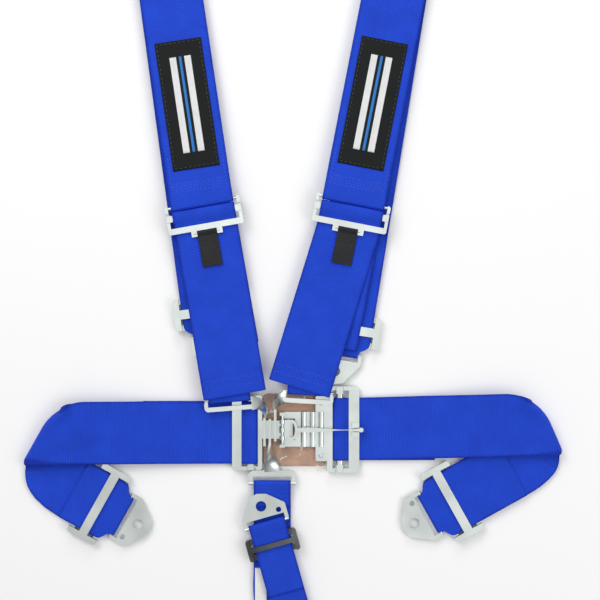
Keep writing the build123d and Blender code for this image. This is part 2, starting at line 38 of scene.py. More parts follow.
import json
from math import atan2, cos, degrees, hypot, pi, radians, sin, tan

import bpy
from bpy.props import FloatProperty, PointerProperty, StringProperty
from mathutils import Vector, noise

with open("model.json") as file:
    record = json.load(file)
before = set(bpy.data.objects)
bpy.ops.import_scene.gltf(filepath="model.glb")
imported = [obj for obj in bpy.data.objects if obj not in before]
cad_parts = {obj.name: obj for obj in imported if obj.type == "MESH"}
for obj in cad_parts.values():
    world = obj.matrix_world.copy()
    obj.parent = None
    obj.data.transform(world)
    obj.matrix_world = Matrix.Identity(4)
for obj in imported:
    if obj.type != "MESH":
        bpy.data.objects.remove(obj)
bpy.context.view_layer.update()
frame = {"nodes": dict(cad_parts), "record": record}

# ---- sizes, in millimetres ----------------------------------------------------------------
MM = 0.001
UP = Vector((0, 0, 1))
WEB_W, LOOP_W, CROTCH_W, WEB_T = 76.2, 50.8, 45.0, 1.8
RIM_R, CLEAR = 1.8, 0.3
RIM_LOOP_R = RIM_R + CLEAR + WEB_T / 2
ROLL_R, ROLL_BACK_X, FRONT_Z = 3.7, -5.3, -1.5
LAP_Z, SHOULDER_Z, FITTING_Z, CROTCH_RIM_Z = 5.2, 15.9, 14.6, 7.9
TAIL_LOW, TAIL_HIGH, TAIL_RIM_Z, CROTCH_TAIL_LIFT = 4.3, 6.5, 5.4, 6.3
SLIDE_HALF, RIM_REACH = 19.5, 30.0
LEFT_ADJ, RIGHT_ADJ = (-51.5, -7.3), (59.85, -3.3)
TOP_Y, UPPER_Z = 590.0, 12.3
UPPER_HEIGHTS = ((330.0, 12.3), (200.0, 13.0), (42.0, 16.4), (10.0, 20.0), (0.0, 20.2))
ARC_STEPS = 8
TOP_CORNER, LOW_CORNER = 62.0, 9.0     # how roundly a lap belt's fold turns at its two ends

LAP_BELTS = {
    # slide centre, heading to the bracket, straight, bend turn, last run, edge radii, adjuster,
    # tail behind the slide, doubled length at the adjuster, heading at the adjuster
    "left": ((-234.0, -94.0), -29.2, 40.0, -37.8, 27.7, (9.0, 5.0), LEFT_ADJ, 36.0, 135.0, 0),
    "right": ((195.0, -91.0), 209.1, 90.0, 24.6, 30.0, (5.0, 9.0), RIGHT_ADJ, 84.0, 120.0, 180),
}
SHOULDER_BELTS = {
    # fitting rim, rim heading, hem centre, adjuster, adjuster heading, tail slide, tail heading
    "left": ((-75.5, 34.0), 94.5, (-69.0, 41.0), (-106.0, 257.0), 100.0, (-96.0, 141.0), -82.3),
    "right": ((20.0, 42.5), 86.3, (9.5, 49.0), (72.0, 259.0), 79.0, (60.0, 120.0), -99.3),
}
RIM_BEYOND_BAR, TAB_ROD_X, TAB_ROD_Z = 14.1, 20.6, 18.1
CROTCH_X, CROTCH_RIM_Y, CROTCH_FOLD_Y = -23.8, -69.0, -310.6
CROTCH_SLIDE, CROTCH_HEADING = (-23.0, -143.0), 105.8


# ---- webbing path, walked the way it is threaded -------------------------------------------
def unit(heading):
    return Vector((cos(radians(heading)), sin(radians(heading)), 0))


class Strap:
    """Walks a strip of webbing and keeps its two edges as pairs of points."""

    def __init__(self, x, y, z, heading, width):
        self.pos, self.heading, self.width = Vector((x, y, 0)), heading, width
        self.za = self.zb = z
        self.side = 1
        self.pairs = []
        self.mark()

    def mark(self):
        half = unit(self.heading + 90) * (self.side * self.width / 2)
        self.pairs.append((self.pos + half + UP * self.za, self.pos - half + UP * self.zb))

    def go(self, length, z=None, width=None, zb=None):
        self.pos = self.pos + unit(self.heading) * length
        if z is not None:
            self.za, self.zb = z, z if zb is None else zb
        self.width = width or self.width
        self.mark()

    def turn(self, angle, radius, steps=4):
        for _ in range(steps):
            chord = 2 * radius * sin(radians(abs(angle) / steps / 2))
            self.heading += angle / steps / 2
            self.pos = self.pos + unit(self.heading) * chord
            self.heading += angle / steps / 2
            self.mark()

    def fold(self, new_heading, ra, rb, rise):
        """Half a turn about a crease; rise is +1 to fold up and -1 to fold down."""
        crease = unit((self.heading + new_heading) / 2)
        along = unit(self.heading).dot(crease)
        out = unit(self.heading) - crease * along
        across = out.length
        out = out / across
        reach = crease * (self.width / 2 / crease.dot(unit(self.heading + 90) * self.side))
        if abs(along) > 0.01:
            self.pairs.pop()    # the square end gives way to one along the crease
        for step in range(ARC_STEPS + 1):
            turn = pi * step / ARC_STEPS
            ends = []
            for start, radius, z in ((reach, ra, self.za), (-reach, rb, self.zb)):
                drift = crease * ((ra + rb) / 2 * turn * along / across)
                flat = self.pos + start + out * (radius * sin(turn)) + drift
                ends.append(flat + UP * (z + rise * radius * (1 - cos(turn))))
            if (self.pairs[-1][0] - ends[0]).length > 0.01:
                self.pairs.append(tuple(ends))
        middle = (ends[0] + ends[1]) / 2
        self.pos = Vector((middle.x, middle.y, 0))
        self.za, self.zb = self.za + 2 * rise * ra, self.zb + 2 * rise * rb
        self.heading, self.side = new_heading, -self.side

    def loop(self, radius, rise):
        self.fold(self.heading + 180, radius, radius, rise)

    def aim(self, x, y):
        self.heading = degrees(atan2(y - self.pos.y, x - self.pos.x))
        return hypot(y - self.pos.y, x - self.pos.x)


def tail_path(x, y, heading, back, slide_half, reach, rim_width, lift=0.0, width=WEB_W):
    """Cut end, slide, bracket loop and back: heading is from the slide to the bracket."""
    start = Vector((x, y, 0)) - unit(heading) * back
    path = Strap(start.x, start.y, lift + TAIL_HIGH, heading, width)
    path.go(back + slide_half + 0.5, lift + TAIL_HIGH)
    path.go(reach - slide_half - 4.5, lift + TAIL_RIM_Z + RIM_LOOP_R, rim_width)
    path.go(4.0)
    path.loop(RIM_LOOP_R, -1)
    path.go(4.0)
    path.go(reach - slide_half - 4.5, lift + TAIL_LOW, width)
    path.go(slide_half + 0.5)
    return path


def over_the_bar(path, height, back):
    """Under the outer bar, over the locking bar's roll and back below it."""
    path.go(11.3, height + FRONT_Z)
    path.go(6.2, height + ROLL_R)
    path.go(2.5 - ROLL_BACK_X)
    path.loop(ROLL_R, -1)
    path.go(back)


def lap_path(side):
    slide, heading, straight, bend, run, (ra, rb), adjuster, tail, doubled, inward = LAP_BELTS[side]
    path = tail_path(*slide, heading, tail, SLIDE_HALF, RIM_REACH, LOOP_W)
    path.go(straight)
    path.turn(bend, 60.0)
    path.go(run)
    outer_x = adjuster[0] - 20.0 * cos(radians(inward))
    path.fold(degrees(atan2(adjuster[1] - path.pos.y, outer_x - path.pos.x)), ra, rb, 1)
    total = path.aim(outer_x, adjuster[1])
    high, low = path.za, path.zb
    path.go(total * 0.14, high, zb=low)
    path.go(total * 0.22, 0.5 * (high + 13.0), zb=0.5 * (low + 13.0) + 0.4)
    path.go(total * 0.24, 8.5)
    path.go(total * 0.40, LAP_Z + FRONT_Z)
    path.heading = inward
    over_the_bar(path, LAP_Z, doubled)
    return path


def loop_path(side):
    rim, heading = SHOULDER_BELTS[side][:2]
    inside = Vector((*rim, 0)) + unit(heading) * 45.0
    path = Strap(inside.x, inside.y, 16.6, heading + 180, LOOP_W)
    path.go(35.0, FITTING_Z + RIM_LOOP_R)
    path.go(10.0)
    path.loop(RIM_LOOP_R, -1)
    path.go(10.0)
    path.go(28.0, 13.6)
    return path


def lower_path(side):
    _, _, hem, adjuster, up_heading, _, _ = SHOULDER_BELTS[side]
    below = Vector((*adjuster, 0)) - unit(up_heading) * 20.0
    lean = degrees(atan2(below.y - hem[1], below.x - hem[0]))
    start = Vector((*hem, 0)) + unit(lean) * 26.0
    path = Strap(start.x, start.y, 20.0, lean + 180, WEB_W)
    path.go(26.0)
    path.loop(1.1, 1)
    path.go(30.0)
    total = path.aim(below.x, below.y)
    path.go(total * 0.45, 15.2)
    path.go(total * 0.50, SHOULDER_Z + FRONT_Z)
    path.aim(below.x, below.y)
    path.go(total * 0.05)
    path.heading = up_heading
    over_the_bar(path, SHOULDER_Z, 168.0)
    return path


def upper_path(side):
    _, _, _, adjuster, up_heading, slide, tail_heading = SHOULDER_BELTS[side]
    path = tail_path(*slide, tail_heading, 120.0, SLIDE_HALF, RIM_REACH, LOOP_W)
    path.go((TOP_Y - path.pos.y) / sin(radians(path.heading)))
    anchor = Vector((*adjuster, 0)) + unit(up_heading) * RIM_BEYOND_BAR
    down = degrees(atan2(anchor.y - path.pos.y, anchor.x - path.pos.x))
    path.fold(down, (UPPER_Z - TAIL_LOW) / 2, (UPPER_Z - TAIL_LOW) / 2, 1)
    near = UPPER_HEIGHTS[-2][0]
    approach = anchor + unit(up_heading) * near
    left_to_go = path.aim(approach.x, approach.y) + near
    for distance, height in UPPER_HEIGHTS[:-1]:
        path.go(left_to_go - distance, height)
        left_to_go = distance
    path.heading = up_heading + 180
    path.go(left_to_go, UPPER_HEIGHTS[-1][1])
    path.loop(RIM_LOOP_R, -1)
    path.go(10.0, 14.2)
    path.go(38.0, 13.9)
    return path


def crotch_path():
    path = tail_path(*CROTCH_SLIDE, CROTCH_HEADING, 60.0, 13.0, 26.0, CROTCH_W, CROTCH_TAIL_LIFT, CROTCH_W)
    path.go((CROTCH_FOLD_Y - path.pos.y) / sin(radians(path.heading)))
    low = CROTCH_RIM_Z - RIM_LOOP_R
    radius = (CROTCH_TAIL_LIFT + TAIL_LOW - low) / 2
    path.fold(120, radius, radius, -1)
    path.go(64.0)
    path.turn(-30, 120.0)
    path.go(path.aim(CROTCH_X, CROTCH_RIM_Y - 100))
    path.heading = 90
    path.go(100.0)
    path.loop(RIM_LOOP_R, 1)
    path.go(4.0, CROTCH_RIM_Z + RIM_LOOP_R - 0.3)
    path.go(10.0, 7.3)
    path.go(14.0, 7.2)
    return path


def tab_path(side):
    _, _, _, adjuster, up_heading, _, _ = SHOULDER_BELTS[side]
    end = Vector((*adjuster, 0)) - unit(up_heading) * (TAB_ROD_X + 42.0)
    path = Strap(end.x, end.y, SHOULDER_Z + 1.65, up_heading, 24.0)
    path.go(38.0)
    path.go(4.0, TAB_ROD_Z + 2.0)
    path.loop(2.0, -1)
    path.go(4.0, SHOULDER_Z + 0.55)
    path.go(38.0)
    return path


# ---- strips -------------------------------------------------------------------------------
class Strip:
    """An even, softened run of a strap's edges, with lengths along it."""

    def __init__(self, pairs, step=2.5, soften=6):
        rows = []
        for (a0, b0), (a1, b1) in zip(pairs, pairs[1:]):
            count = max(1, round(max((a1 - a0).length, (b1 - b0).length) / step))
            rows += [(a0.lerp(a1, k / count), b0.lerp(b1, k / count)) for k in range(count)]
        rows.append(pairs[-1])
        arc = 0.62 * step
        for _ in range(soften):
            eased = list(rows)
            for i in range(1, len(rows) - 1):
                (a0, b0), (a, b), (a1, b1) = rows[i - 1], rows[i], rows[i + 1]
                if min((a - a0).length, (a1 - a).length) > arc:
                    eased[i] = (a.lerp((a0 + a1) / 2, 0.5), b.lerp((b0 + b1) / 2, 0.5))
            rows = eased
        self.rows = rows
        self.middles = [(a + b) / 2 for a, b in rows]
        self.lengths = [0.0]
        for p, q in zip(self.middles, self.middles[1:]):
            self.lengths.append(self.lengths[-1] + (q - p).length)
        self.total = self.lengths[-1]

    def frame_at(self, i):
        before, after = self.middles[max(i - 1, 0)], self.middles[min(i + 1, len(self.rows) - 1)]
        a, b = self.rows[i]
        across = (a - b).normalized()
        ahead = (after - before)
        ahead = (ahead - across * ahead.dot(across)).normalized()
        return self.middles[i], across, ahead.cross(across)

    def point(self, along, across, lift):
        """The point that far along and across the strip, lifted off its middle surface."""
        i = 1
        while i < len(self.lengths) - 1 and self.lengths[i] < along:
            i += 1
        share = (along - self.lengths[i - 1]) / (self.lengths[i] - self.lengths[i - 1])
        m0, c0, n0 = self.frame_at(i - 1)
        m1, c1, n1 = self.frame_at(i)
        return m0.lerp(m1, share) + c0.lerp(c1, share) * across + n0.lerp(n1, share) * lift


def mesh_object(name, points, faces, body, material, smooth=True):
    mesh = bpy.data.meshes.new(name)
    mesh.from_pydata([p * MM for p in points], [], faces)
    mesh.validate()
    mesh.polygons.foreach_set("use_smooth", [smooth] * len(mesh.polygons))
    mesh.update()
    piece = bpy.data.objects.new(name, mesh)
    bpy.context.scene.collection.objects.link(piece)
    mesh.materials.append(material)
    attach(piece, body)
    return piece


def eased_corner(tip, first, second, radius):
    """A mover that draws a strip's corner in to a curve; first and second are its two sides."""
    inward = (first + second).normalized()
    half = first.angle(inward)
    centre = tip + inward * (radius / sin(half))
    tangents = [(tip + side * (radius / tan(half)) - centre).normalized() for side in (first, second)]
    core = 0.7 * radius

    def move(point):
        flat = Vector((point.x, point.y, 0)) - centre
        ahead = flat.normalized()
        if flat.length <= core or ahead.dot(-inward) < tangents[0].dot(-inward):
            return point
        limit = radius / max(ahead.dot(tangent) for tangent in tangents)
        kept = core + (flat.length - core) * (radius - core) / (limit - core)
        return centre + ahead * kept + UP * point.z

    return move


SELVEDGE = (-1.0, -0.985, -0.95, -0.7, -0.35, 0.0, 0.35, 0.7, 0.95, 0.985, 1.0)


def ribbon(name, strip, body, material, thickness=WEB_T, relief=0.0, pitch=2.4,
           columns=SELVEDGE, movers=()):
    """A closed strip of webbing: thinner at its selvedges, with raised ribs where relief is given."""
    points, faces, weave = [], [], []
    count = len(columns)
    for i, (a, b) in enumerate(strip.rows):
        middle, across, up = strip.frame_at(i)
        half = (a - b).length / 2
        ripple = 1 + relief * sin(2 * pi * strip.lengths[i] / pitch)
        for sign, order in ((1, columns), (-1, columns[::-1])):
            for t in order:
                thin = 1 - 0.5 * max(0.0, (abs(t) - 0.95) / 0.05) ** 2
                spot = middle + across * (half * t)
                for move in movers:
                    spot = move(spot)
                points.append(spot + up * (sign * thickness / 2 * thin * ripple))
                weave.append((half * t, strip.lengths[i], sign))
    ring = 2 * count
    for i in range(len(strip.rows) - 1):
        for k in range(ring):
            j = (k + 1) % ring
            faces.append((i * ring + k, i * ring + j, (i + 1) * ring + j, (i + 1) * ring + k))
    last = (len(strip.rows) - 1) * ring
    for k in range(count - 1):
        faces.append((k + 1, k, ring - 1 - k, ring - 2 - k))
        faces.append((last + k, last + k + 1, last + ring - 2 - k, last + ring - 1 - k))
    piece = mesh_object(name, points, faces, body, material)
    cloth = piece.data.attributes.new("weave", "FLOAT_VECTOR", "POINT")
    cloth.data.foreach_set("vector", [c for v in weave for c in v])
    return piece


def stitches(name, strip, runs, body, material, length=3.2, gap=1.6, thick=0.55, lift=None):
    """Rows of thread, each stitch a small spindle lying on the strip's face."""
    lift = WEB_T / 2 if lift is None else lift
    points, faces = [], []
    for (s0, t0), (s1, t1) in runs:
        row = hypot(s1 - s0, t1 - t0)
        count = max(1, int(row / (length + gap)))
        for k in range(count):
            ends = [(k * (length + gap) + d) / row for d in (0, length / 2, length)]
            spots = [strip.point(s0 + (s1 - s0) * e, t0 + (t1 - t0) * e, lift) for e in ends]
            run = (spots[2] - spots[0]).normalized()
            side = run.cross(UP).normalized() * (thick / 2)
            base = len(points)
            points += [spots[0], spots[1] + side, spots[1] + UP * (thick / 2), spots[1] - side,
                       spots[1] - UP * (thick / 2), spots[2]]
            for a, b in ((1, 2), (2, 3), (3, 4), (4, 1)):
                faces += [(base, base + b, base + a), (base + 5, base + a, base + b)]
    return mesh_object(name, points, faces, body, material)


def box_rows(s0, s1, half):
    """The four rows of a sewn box."""
    corners = [(s0, -half), (s1, -half), (s1, half), (s0, half), (s0, -half)]
    return list(zip(corners, corners[1:]))


def zigzag_row(s, half, swing=1.6, pitch=3.4):
    count = int(2 * half / pitch)
    spots = [(s + (swing if i % 2 else -swing), -half + 2 * half * i / count) for i in range(count + 1)]
    return list(zip(spots, spots[1:]))


# ---- materials ----------------------------------------------------------------------------
def linear(value):
    """An sRGB hex colour as linear RGBA."""
    parts = [int(value[i:i + 2], 16) / 255 for i in (1, 3, 5)]
    return tuple(c / 12.92 if c <= 0.04045 else ((c + 0.055) / 1.055) ** 2.4 for c in parts) + (1.0,)


def add_node(tree, kind, settings=None, links=None):
    """Adds a node; settings name its properties or inputs, links name its inputs' sources."""
    made = tree.nodes.new(kind)
    for key, value in (settings or {}).items():
        if isinstance(key, str) and hasattr(made, key):
            setattr(made, key, value)
        else:
            made.inputs[key].default_value = value
    for key, source in (links or {}).items():
        tree.links.new(source, made.inputs[key])
    return made


def new_material(name, settings):
    material = bpy.data.materials.new(name)
    material.use_nodes = True
    tree = material.node_tree
    shader = tree.nodes["Principled BSDF"]
    for key, value in settings.items():
        shader.inputs[key].default_value = value
    return material, tree, shader


def woven(name, light, dark, rib, yarn, half_width, sheen=0.1, roughness=0.7, bump=0.5):
    """Woven webbing. Weft ribs cross the strip and warp yarns run along it: rib and yarn are
    their spacings in millimetres. The ribs give fine cross lines, as bumps and as painted shade
    between them, and the selvedges look darker."""
    material, tree, shader = new_material(name, {
        "Roughness": roughness, "Sheen Weight": sheen, "Sheen Roughness": 0.4, "IOR": 1.5,
        "Specular IOR Level": 0.25,
    })
    shader.inputs["Sheen Tint"].default_value = linear(light)
    place = add_node(tree, "ShaderNodeAttribute", {"attribute_name": "weave"})
    split = add_node(tree, "ShaderNodeSeparateXYZ", links={0: place.outputs["Vector"]})
    waves = []
    for output, spacing in ((split.outputs["Y"], rib), (split.outputs["X"], yarn)):
        phase = add_node(tree, "ShaderNodeMath", {"operation": "MULTIPLY", 1: 2 * pi / spacing}, {0: output})
        waves.append(add_node(tree, "ShaderNodeMath", {"operation": "SINE"}, {0: phase.outputs[0]}))
    twill = add_node(tree, "ShaderNodeMath", {"operation": "MULTIPLY"},
                     {0: waves[0].outputs[0], 1: waves[1].outputs[0]})
    relief = add_node(tree, "ShaderNodeMath", {"operation": "MULTIPLY_ADD", 1: 0.5},
                      {0: twill.outputs[0], 2: waves[0].outputs[0]})
    fade = add_node(tree, "ShaderNodeTexNoise", {"Scale": 0.03, "Detail": 3.0}, {"Vector": place.outputs["Vector"]})
    lint = add_node(tree, "ShaderNodeTexNoise", {"Scale": 1.3, "Detail": 2.0}, {"Vector": place.outputs["Vector"]})
    # painted shade: the colour follows the ribs' height and is darker in the hollows between them
    painted_rib_shade = add_node(tree, "ShaderNodeMath", {"operation": "MULTIPLY_ADD", 1: 0.16, 2: 0.25},
                    {0: relief.outputs[0]})
    cloudy = add_node(tree, "ShaderNodeMath", {"operation": "MULTIPLY_ADD", 1: 0.55}, {0: fade.outputs["Fac"], 2: painted_rib_shade.outputs[0]})
    dusty = add_node(tree, "ShaderNodeMath", {"operation": "MULTIPLY_ADD", 1: 0.25}, {0: lint.outputs["Fac"], 2: cloudy.outputs[0]})
    side = add_node(tree, "ShaderNodeMath", {"operation": "ABSOLUTE"}, {0: split.outputs["X"]})
    edge = add_node(tree, "ShaderNodeMapRange", {"From Min": half_width - 3.5, "From Max": half_width, "To Min": 0.0, "To Max": 0.45},
                    {"Value": side.outputs[0]})
    shade = add_node(tree, "ShaderNodeMath", {"operation": "SUBTRACT", "use_clamp": True},
                     {0: dusty.outputs[0], 1: edge.outputs["Result"]})
    colour = add_node(tree, "ShaderNodeMix", {"data_type": "RGBA"}, {0: shade.outputs[0]})
    colour.inputs[6].default_value = linear(dark)
    colour.inputs[7].default_value = linear(light)
    tree.links.new(colour.outputs[2], shader.inputs["Base Color"])
    lift = add_node(tree, "ShaderNodeBump", {"Strength": bump, "Distance": 0.0005}, {"Height": relief.outputs[0]})
    tree.links.new(lift.outputs["Normal"], shader.inputs["Normal"])
    return material


def plated_steel(name, light, dark, roughness, grain=0.12):
    """Pressed steel, tumbled and bright zinc plated: soft grey highlights, a fine orange-peel
    surface and slightly uneven brightness from the bath."""
    material, tree, shader = new_material(name, {"Metallic": 1.0, "Roughness": roughness})
    place = add_node(tree, "ShaderNodeTexCoord")
    cloud = add_node(tree, "ShaderNodeTexNoise", {"Scale": 25.0, "Detail": 2.0}, {"Vector": place.outputs["Object"]})
    peel = add_node(tree, "ShaderNodeTexNoise", {"Scale": 420.0, "Detail": 2.0}, {"Vector": place.outputs["Object"]})
    ramp = add_node(tree, "ShaderNodeMapRange", {"From Min": 0.2, "From Max": 0.75}, {"Value": cloud.outputs["Fac"]})
    colour = add_node(tree, "ShaderNodeMix", {"data_type": "RGBA"}, {0: ramp.outputs["Result"]})
    colour.inputs[6].default_value = linear(dark)
    colour.inputs[7].default_value = linear(light)
    tree.links.new(colour.outputs[2], shader.inputs["Base Color"])
    rough = add_node(tree, "ShaderNodeMapRange", {"To Min": roughness - 0.04, "To Max": roughness + 0.06},
                     {"Value": cloud.outputs["Fac"]})
    tree.links.new(rough.outputs["Result"], shader.inputs["Roughness"])
    lift = add_node(tree, "ShaderNodeBump", {"Strength": grain, "Distance": 0.0002}, {"Height": peel.outputs["Fac"]})
    tree.links.new(lift.outputs["Normal"], shader.inputs["Normal"])
    return material


def tan_leather(name, light, dark):
    """Vegetable-tanned leather, rolled and lightly oiled: warm uneven tan with a pebbled grain."""
    material, tree, shader = new_material(name, {"Roughness": 0.5, "IOR": 1.5})
    place = add_node(tree, "ShaderNodeTexCoord")
    stain = add_node(tree, "ShaderNodeTexNoise", {"Scale": 40.0, "Detail": 5.0}, {"Vector": place.outputs["Object"]})
    pebble = add_node(tree, "ShaderNodeTexVoronoi", {"Scale": 700.0}, {"Vector": place.outputs["Object"]})
    ramp = add_node(tree, "ShaderNodeMapRange", {"From Min": 0.32, "From Max": 0.68}, {"Value": stain.outputs["Fac"]})
    colour = add_node(tree, "ShaderNodeMix", {"data_type": "RGBA"}, {0: ramp.outputs["Result"]})
    colour.inputs[6].default_value = linear(dark)
    colour.inputs[7].default_value = linear(light)
    tree.links.new(colour.outputs[2], shader.inputs["Base Color"])
    lift = add_node(tree, "ShaderNodeBump", {"Strength": 0.4, "Distance": 0.0003}, {"Height": pebble.outputs["Distance"]})
    tree.links.new(lift.outputs["Normal"], shader.inputs["Normal"])
    return material


def packing_film(name):
    """Clear polythene film, crumpled: see-through where flat, milky along its creases, partly as stress whitening and
    partly as a painted highlight on the wrinkles' ridges.
    """
    material, tree, shader = new_material(name, {
        "Base Color": linear("#f6f1e8"), "Roughness": 0.12, "IOR": 1.5, "Specular IOR Level": 1.0,
    })
    place = add_node(tree, "ShaderNodeAttribute", {"attribute_name": "crease"})
    # the crease value, the wrinkles' height, raises the alpha of the off-white film: partly stress whitening, partly
    # painted highlight on the ridges
    clear = add_node(tree, "ShaderNodeMapRange", {"From Min": 0.6, "From Max": 1.0, "To Min": 0.12, "To Max": 0.75},
                     {"Value": place.outputs["Fac"]})
    tree.links.new(clear.outputs["Result"], shader.inputs["Alpha"])
    return material


def plain_thread(name, value, roughness=0.6):
    """Twisted polyester thread: matt, with light lint along it."""
    material, tree, shader = new_material(name, {"Roughness": roughness, "Sheen Weight": 0.3, "IOR": 1.5})
    place = add_node(tree, "ShaderNodeTexCoord")
    ply = add_node(tree, "ShaderNodeTexNoise", {"Scale": 1200.0}, {"Vector": place.outputs["Object"]})
    colour = add_node(tree, "ShaderNodeMix", {"data_type": "RGBA"}, {0: ply.outputs["Fac"]})
    base = linear(value)
    colour.inputs[6].default_value = tuple(c * 0.7 for c in base[:3]) + (1,)
    colour.inputs[7].default_value = base
    tree.links.new(colour.outputs[2], shader.inputs["Base Color"])
    return material


MATERIALS = {}


def make_materials(settings):
    blue, deep = settings.webbing_hex, settings.webbing_dark_hex
    MATERIALS["belt"] = woven("polyester_webbing_blue", blue, deep, 1.9, 1.5, WEB_W / 2)
    MATERIALS["loop"] = woven("polyester_webbing_blue_2in", blue, deep, 1.9, 1.5, LOOP_W / 2)
    MATERIALS["crotch"] = woven("polyester_webbing_blue_narrow", blue, deep, 1.7, 1.4, CROTCH_W / 2)
    MATERIALS["tape"] = woven("nylon_tape_black", "#2c2d2f", "#050606", 2.4, 1.6, 40.0, 0.08, 0.6)
    MATERIALS["label"] = woven("damask_label_black", "#1d1f20", "#08090a", 0.9, 0.9, 60.0, 0.04, 0.8, 0.3)
    MATERIALS["satin"] = woven("satin_tag_white", "#f4f4f2", "#cfd0cf", 0.8, 0.8, 30.0, 0.2, 0.5, 0.2)
    MATERIALS["stripe"] = woven("embroidery_white", "#ffffff", "#c8cac9", 0.8, 3.0, 30.0, 0.2, 0.6, 0.5)
    MATERIALS["accent"] = woven("embroidery_blue", "#3f8fe0", "#1d5fae", 0.8, 3.0, 30.0, 0.2, 0.6, 0.5)
    MATERIALS["thread"] = plain_thread("bonded_thread_blue", settings.thread_hex)
    MATERIALS["tab_thread"] = plain_thread("bonded_thread_black", "#26282b")
    MATERIALS["label_thread"] = plain_thread("bonded_thread_grey", "#5c6063")
    MATERIALS["zinc"] = plated_steel("zinc_plated_steel_tumbled", settings.zinc_hex, "#c3cbc8", 0.3)
    MATERIALS["gunmetal"] = plated_steel("black_zinc_steel", "#6d6f70", "#2f3132", 0.34)
    MATERIALS["leather"] = tan_leather("leather_tan", settings.leather_hex, "#8f5831")
    MATERIALS["film"] = packing_film("polythene_film_creased")


# ---- settings -----------------------------------------------------------------------------
class HarnessSettings(bpy.types.PropertyGroup):
    # the webbing's colour runs between these two with random tone and with the ribs' height: darker between the ribs is
    # painted shade
    webbing_hex: StringProperty(name="Webbing", description="sRGB colour of the webbing's raised ribs", default="#1c4fe0")
    webbing_dark_hex: StringProperty(name="Webbing, low", description="sRGB colour between the ribs", default="#07239a")
    thread_hex: StringProperty(name="Thread", description="sRGB colour of the sewing thread", default="#3a66e6")
    zinc_hex: StringProperty(name="Hardware", description="sRGB colour of the plated hardware", default="#e2e9e6")
    leather_hex: StringProperty(name="Pad", description="sRGB colour of the leather pad", default="#c4834f")
    film_height: FloatProperty(
        name="Film wrinkles", description="Height of the film's wrinkles over the pad",
        default=0.0013, min=0.0, max=0.0016, unit="LENGTH")
    edge_radius: FloatProperty(
        name="Edge radius", description="Rounding of the hardware's pressed edges",
        default=0.0005, min=0.0, max=0.001, unit="LENGTH")


def settings():
    return bpy.context.scene.harness_settings


# ---- operators ----------------------------------------------------------------------------
class HARNESS_OT_materials(bpy.types.Operator):
    """Makes every finish on the harness"""
    bl_idname = "harness.materials"
    bl_label = "Make materials"

    def execute(self, context):
        make_materials(settings())
        return {"FINISHED"}


class HARNESS_OT_hardware(bpy.types.Operator):
    """Finishes the buckle, adjusters, slides and brackets"""
    bl_idname = "harness.hardware"
    bl_label = "Finish hardware"

    def execute(self, context):
        for entry in frame["record"]["subparts"]:
            if entry["material_slot"] not in ("zinc_steel", "dark_steel"):
                continue
            node = frame["nodes"][entry["node"]]
            finish = MATERIALS["zinc" if entry["material_slot"] == "zinc_steel" else "gunmetal"]
            node.data.materials.clear()
            node.data.materials.append(finish)
            node.data.polygons.foreach_set("use_smooth", [True] * len(node.data.polygons))
            node.data.set_sharp_from_angle(angle=radians(32))
            bevel = node.modifiers.new("rounded_edges", "BEVEL")
            bevel.width, bevel.segments, bevel.limit_method = settings().edge_radius, 2, "ANGLE"
            bevel.angle_limit = radians(40)
            bevel.harden_normals = True
        return {"FINISHED"}


class HARNESS_OT_lap_belts(bpy.types.Operator):
    """Lays both lap belts through their adjusters, slides and brackets"""
    bl_idname = "harness.lap_belts"
    bl_label = "Lay lap belts"

    def execute(self, context):
        fine = tuple(i / 16 for i in range(-15, 16))
        columns = SELVEDGE[:3] + fine + SELVEDGE[-3:]
        for side in LAP_BELTS:
            path = lap_path(side)
            strip = Strip(path.pairs)
            crease = max(path.pairs, key=lambda pair: abs(pair[0].x + pair[1].x))
            top, low = sorted((Vector((p.x, p.y, 0)) for p in crease), key=lambda p: -p.y)
            inward = unit(LAP_BELTS[side][-1])
            movers = (
                eased_corner(top, inward, (low - top).normalized(), TOP_CORNER),
                eased_corner(low, inward, (top - low).normalized(), LOW_CORNER),
            )
            belt = ribbon(f"{side}_lap_belt", strip, "buckle", MATERIALS["belt"],
                          columns=columns, movers=movers)
            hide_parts(f"{side}_lap_web")
        return {"FINISHED"}


class HARNESS_OT_shoulder_belts(bpy.types.Operator):
    """Lays the loop, lower and upper webs of both shoulder belts and sews them"""
    bl_idname = "harness.shoulder_belts"
    bl_label = "Lay shoulder belts"

    def execute(self, context):
        for side in SHOULDER_BELTS:
            body = f"{side}_shoulder"
            strips = {
                "loop": (Strip(loop_path(side).pairs), LOOP_W, "loop"),
                "lower": (Strip(lower_path(side).pairs), WEB_W, "belt"),
                "upper": (Strip(upper_path(side).pairs), WEB_W, "belt"),
            }
            for part, (strip, width, finish) in strips.items():
                belt = ribbon(f"{side}_{part}_belt", strip, body, MATERIALS[finish])
                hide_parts(f"{side}_{part}_web")
            hem = strips["lower"][0]
            hem_start = 26.0 + pi * 1.1
            rows = zigzag_row(hem_start + 10.0, WEB_W / 2 - 3) + zigzag_row(hem_start + 19.0, WEB_W / 2 - 3)
            stitches(f"{side}_hem_stitching", hem, rows, body, MATERIALS["thread"], 2.6, 0.6,
                     lift=-WEB_T / 2)
            upper = strips["upper"][0]
            rim = upper.total - 48.0 - pi * RIM_LOOP_R
            half = WEB_W / 2 - 5
            sewn = box_rows(rim - 60.0, rim - 17.0, half)
            for back in (20.0, 23.5, 27.0):
                sewn += zigzag_row(rim - back, half - 1)
            stitches(f"{side}_box_stitching", upper, sewn, body, MATERIALS["thread"], lift=WEB_T / 2)
        return {"FINISHED"}


